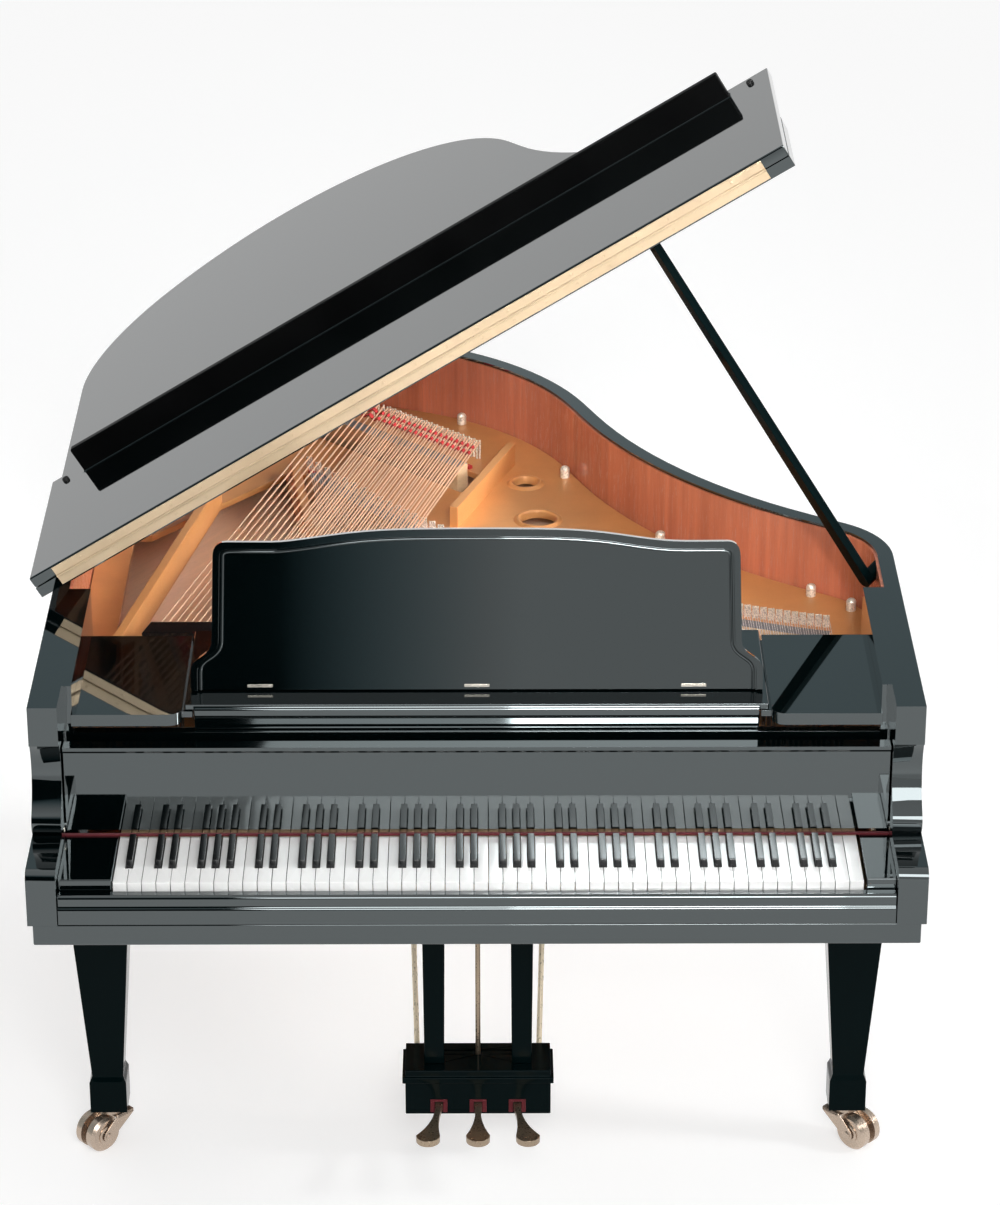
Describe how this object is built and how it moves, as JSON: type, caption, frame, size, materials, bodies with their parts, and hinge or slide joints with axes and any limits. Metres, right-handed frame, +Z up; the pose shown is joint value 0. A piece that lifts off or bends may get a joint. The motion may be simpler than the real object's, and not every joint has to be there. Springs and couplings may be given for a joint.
{
  "type": "grand piano",
  "caption": "Black lacquered grand piano with a propped folding lid, music desk, fallboard, keyboard and action, pedal lyre, tapered legs and brass casters.",
  "frame": {"origin": "middle of the bounding box's base, on the floor", "axes": "+Z up, +Y from the keyboard towards the tail, +X towards the treble side"},
  "size_m": [1.5036, 1.812, 1.8127],
  "materials": {
    "black_lacquer": "black high gloss polyester lacquer",
    "mahogany": "satin lacquered mahogany veneer",
    "spruce": "clear lacquered spruce",
    "maple": "oiled hard maple",
    "bronze_iron": "gold bronze lacquer on cast iron",
    "steel": "drawn steel",
    "blued_steel": "blued steel",
    "copper_winding": "copper winding on steel",
    "brass": "polished brass",
    "red_felt": "pressed wool felt",
    "white_key": "polished white acrylic on wood",
    "black_key": "satin black",
    "hammer_felt": "wool felt on a wooden shank"
  },
  "bodies": {
    "case": {"outer_rim": "black_lacquer", "inner_rim": "mahogany", "keybed": "black_lacquer", "key_slip": "black_lacquer", "key_blocks": "black_lacquer", "stretcher": "black_lacquer", "back_frame": "spruce", "soundboard": "spruce", "bridges": "maple", "iron_plate": "bronze_iron", "pinblock": "maple", "tuning_pins": "blued_steel", "plain_strings": "steel", "bass_strings": "copper_winding", "plate_fittings": "brass", "string_felt": "red_felt", "key_felt": "red_felt", "side_trays": "black_lacquer", "leg_bass": "black_lacquer", "leg_treble": "black_lacquer", "leg_rear": "black_lacquer", "lyre_posts": "black_lacquer", "lyre_box": "black_lacquer", "lyre_braces": "brass", "lid_hinge_rim_leaves": "brass", "prop_bracket": "brass"},
    "lid": {"lid_main": "black_lacquer", "lid_hinge_lid_leaves": "brass", "flap_hinge_lid_leaf": "brass", "prop_plate": "brass"},
    "flap": {"lid_flap": "black_lacquer", "flap_hinge_flap_leaf": "brass"},
    "prop": {"lid_prop": "black_lacquer"},
    "desk": {"desk_shelf": "black_lacquer"},
    "desk_leaf": {"desk_panel": "black_lacquer"},
    "desk_stay": {"desk_strut": "brass"},
    "fall": {"fallboard": "black_lacquer"},
    "action": {"key_frame": "maple", "action_frame": "steel"},
    "damper_set": {"dampers": "black_lacquer"},
    "keys_naturals_a": {"naturals_a": "white_key"},
    "hammers_naturals_a": {"hammers_naturals_a": "hammer_felt"},
    "keys_naturals_b": {"naturals_b": "white_key"},
    "hammers_naturals_b": {"hammers_naturals_b": "hammer_felt"},
    "keys_sharps_a": {"sharps_a": "black_key"},
    "hammers_sharps_a": {"hammers_sharps_a": "hammer_felt"},
    "keys_sharps_b": {"sharps_b": "black_key"},
    "hammers_sharps_b": {"hammers_sharps_b": "hammer_felt"},
    "pedal_shift": {"pedal_shift": "brass"},
    "rod_shift": {"pedal_rod_shift": "brass"},
    "pedal_sostenuto": {"pedal_sostenuto": "brass"},
    "rod_sostenuto": {"pedal_rod_sostenuto": "brass"},
    "pedal_damper": {"pedal_damper": "brass"},
    "rod_damper": {"pedal_rod_damper": "brass"},
    "caster_bass": {"caster_fork_bass": "brass"},
    "wheels_bass": {"caster_wheels_bass": "brass"},
    "caster_treble": {"caster_fork_treble": "brass"},
    "wheels_treble": {"caster_wheels_treble": "brass"},
    "caster_rear": {"caster_fork_rear": "brass"},
    "wheels_rear": {"caster_wheels_rear": "brass"}
  },
  "joints": [
    {"name": "lid_hinge", "type": "hinge", "parent": "case", "child": "lid", "pos_m": [-0.7344, 0, 0.992], "axis": [0, -1, 0], "range_deg": [0, 50]},
    {"name": "flap_hinge", "type": "hinge", "parent": "lid", "child": "flap", "pos_m": [-0.10489, -0.353, 1.40416], "axis": [0.8526, 0, 0.5225], "range_deg": [0, 180]},
    {"name": "prop_pivot", "type": "hinge", "parent": "case", "child": "prop", "pos_m": [0.7018, -0.2018, 0.96], "axis": [-0.6756, -0.61, -0.414], "range_deg": [0, 66]},
    {"name": "desk_slide", "type": "slide", "parent": "case", "child": "desk", "axis": [0, 1, 0], "range_m": [0, 0.15]},
    {"name": "desk_tilt", "type": "hinge", "parent": "desk", "child": "desk_leaf", "pos_m": [0.0177, -0.596, 0.962], "axis": [-1, 0, 0], "range_deg": [0, 69]},
    {"name": "desk_stay_pivot", "type": "hinge", "parent": "desk_leaf", "child": "desk_stay", "pos_m": [0.0177, -0.56494, 1.07791], "axis": [-1, 0, 0], "range_deg": [-138, 0]},
    {"name": "fallboard_pivot", "type": "hinge", "parent": "case", "child": "fall", "pos_m": [0.0177, -0.716, 0.752], "axis": [1, 0, 0], "range_deg": [0, 91]},
    {"name": "pedal_shift_pivot", "type": "hinge", "parent": "case", "child": "pedal_shift", "pos_m": [-0.0513, -0.536, 0.111], "axis": [1, 0, 0], "range_deg": [0, 8], "stiffness_Nm_per_rad": 12, "springref_deg": -6.88},
    {"name": "rod_shift_lift", "type": "slide", "parent": "case", "child": "rod_shift", "axis": [0, 0, 1], "range_m": [0, 0.0036]},
    {"name": "pedal_sostenuto_pivot", "type": "hinge", "parent": "case", "child": "pedal_sostenuto", "pos_m": [0.0177, -0.536, 0.111], "axis": [1, 0, 0], "range_deg": [0, 8], "stiffness_Nm_per_rad": 12, "springref_deg": -6.88},
    {"name": "rod_sostenuto_lift", "type": "slide", "parent": "case", "child": "rod_sostenuto", "axis": [0, 0, 1], "range_m": [0, 0.0036]},
    {"name": "pedal_damper_pivot", "type": "hinge", "parent": "case", "child": "pedal_damper", "pos_m": [0.0867, -0.536, 0.111], "axis": [1, 0, 0], "range_deg": [0, 8], "stiffness_Nm_per_rad": 12, "springref_deg": -6.88},
    {"name": "rod_damper_lift", "type": "slide", "parent": "case", "child": "rod_damper", "axis": [0, 0, 1], "range_m": [0, 0.0036]},
    {"name": "action_shift", "type": "slide", "parent": "case", "child": "action", "axis": [1, 0, 0], "range_m": [0, 0.003]},
    {"name": "damper_lift", "type": "slide", "parent": "case", "child": "damper_set", "axis": [0, 0, 1], "range_m": [0, 0.008]},
    {"name": "key_naturals_a_pivot", "type": "hinge", "parent": "action", "child": "keys_naturals_a", "pos_m": [0.0177, -0.651, 0.707], "axis": [1, 0, 0], "range_deg": [0, 2.5], "stiffness_Nm_per_rad": 60, "springref_deg": -4.58},
    {"name": "hammer_naturals_a_pivot", "type": "hinge", "parent": "action", "child": "hammers_naturals_a", "pos_m": [0.0177, -0.466, 0.79], "axis": [1, 0, 0], "range_deg": [0, 17.5]},
    {"name": "key_naturals_b_pivot", "type": "hinge", "parent": "action", "child": "keys_naturals_b", "pos_m": [0.0177, -0.651, 0.707], "axis": [1, 0, 0], "range_deg": [0, 2.5], "stiffness_Nm_per_rad": 60, "springref_deg": -4.58},
    {"name": "hammer_naturals_b_pivot", "type": "hinge", "parent": "action", "child": "hammers_naturals_b", "pos_m": [0.0177, -0.466, 0.79], "axis": [1, 0, 0], "range_deg": [0, 17.5]},
    {"name": "key_sharps_a_pivot", "type": "hinge", "parent": "action", "child": "keys_sharps_a", "pos_m": [0.0177, -0.651, 0.707], "axis": [1, 0, 0], "range_deg": [0, 2.5], "stiffness_Nm_per_rad": 60, "springref_deg": -4.58},
    {"name": "hammer_sharps_a_pivot", "type": "hinge", "parent": "action", "child": "hammers_sharps_a", "pos_m": [0.0177, -0.466, 0.79], "axis": [1, 0, 0], "range_deg": [0, 17.5]},
    {"name": "key_sharps_b_pivot", "type": "hinge", "parent": "action", "child": "keys_sharps_b", "pos_m": [0.0177, -0.651, 0.707], "axis": [1, 0, 0], "range_deg": [0, 2.5], "stiffness_Nm_per_rad": 60, "springref_deg": -4.58},
    {"name": "hammer_sharps_b_pivot", "type": "hinge", "parent": "action", "child": "hammers_sharps_b", "pos_m": [0.0177, -0.466, 0.79], "axis": [1, 0, 0], "range_deg": [0, 17.5]},
    {"name": "caster_bass_swivel", "type": "hinge", "parent": "case", "child": "caster_bass", "pos_m": [-0.6374, -0.506, 0.072], "axis": [0, 0, 1], "continuous": true},
    {"name": "wheels_bass_spin", "type": "hinge", "parent": "caster_bass", "child": "wheels_bass", "pos_m": [-0.66003, -0.52863, 0.033], "axis": [0.7071, -0.7071, 0], "continuous": true},
    {"name": "caster_treble_swivel", "type": "hinge", "parent": "case", "child": "caster_treble", "pos_m": [0.6728, -0.506, 0.072], "axis": [0, 0, 1], "continuous": true},
    {"name": "wheels_treble_spin", "type": "hinge", "parent": "caster_treble", "child": "wheels_treble", "pos_m": [0.69543, -0.52863, 0.033], "axis": [0.7071, 0.7071, 0], "continuous": true},
    {"name": "caster_rear_swivel", "type": "hinge", "parent": "case", "child": "caster_rear", "pos_m": [-0.3123, 0.524, 0.072], "axis": [0, 0, 1], "continuous": true},
    {"name": "wheels_rear_spin", "type": "hinge", "parent": "caster_rear", "child": "wheels_rear", "pos_m": [-0.34237, 0.51306, 0.033], "axis": [0.342, -0.9397, 0], "continuous": true}
  ],
  "couplings": [
    {"joint": "desk_stay_pivot", "follows": "desk_tilt", "ratio": -2},
    {"joint": "action_shift", "follows": "pedal_shift_pivot", "m_per_rad": 0.021485},
    {"joint": "damper_lift", "follows": "pedal_damper_pivot", "m_per_rad": 0.057295},
    {"joint": "rod_shift_lift", "follows": "pedal_shift_pivot", "m_per_rad": 0.0255},
    {"joint": "rod_sostenuto_lift", "follows": "pedal_sostenuto_pivot", "m_per_rad": 0.0255},
    {"joint": "rod_damper_lift", "follows": "pedal_damper_pivot", "m_per_rad": 0.0255},
    {"joint": "hammer_naturals_a_pivot", "follows": "key_naturals_a_pivot", "ratio": 7},
    {"joint": "hammer_naturals_b_pivot", "follows": "key_naturals_b_pivot", "ratio": 7},
    {"joint": "hammer_sharps_a_pivot", "follows": "key_sharps_a_pivot", "ratio": 7},
    {"joint": "hammer_sharps_b_pivot", "follows": "key_sharps_b_pivot", "ratio": 7}
  ]
}
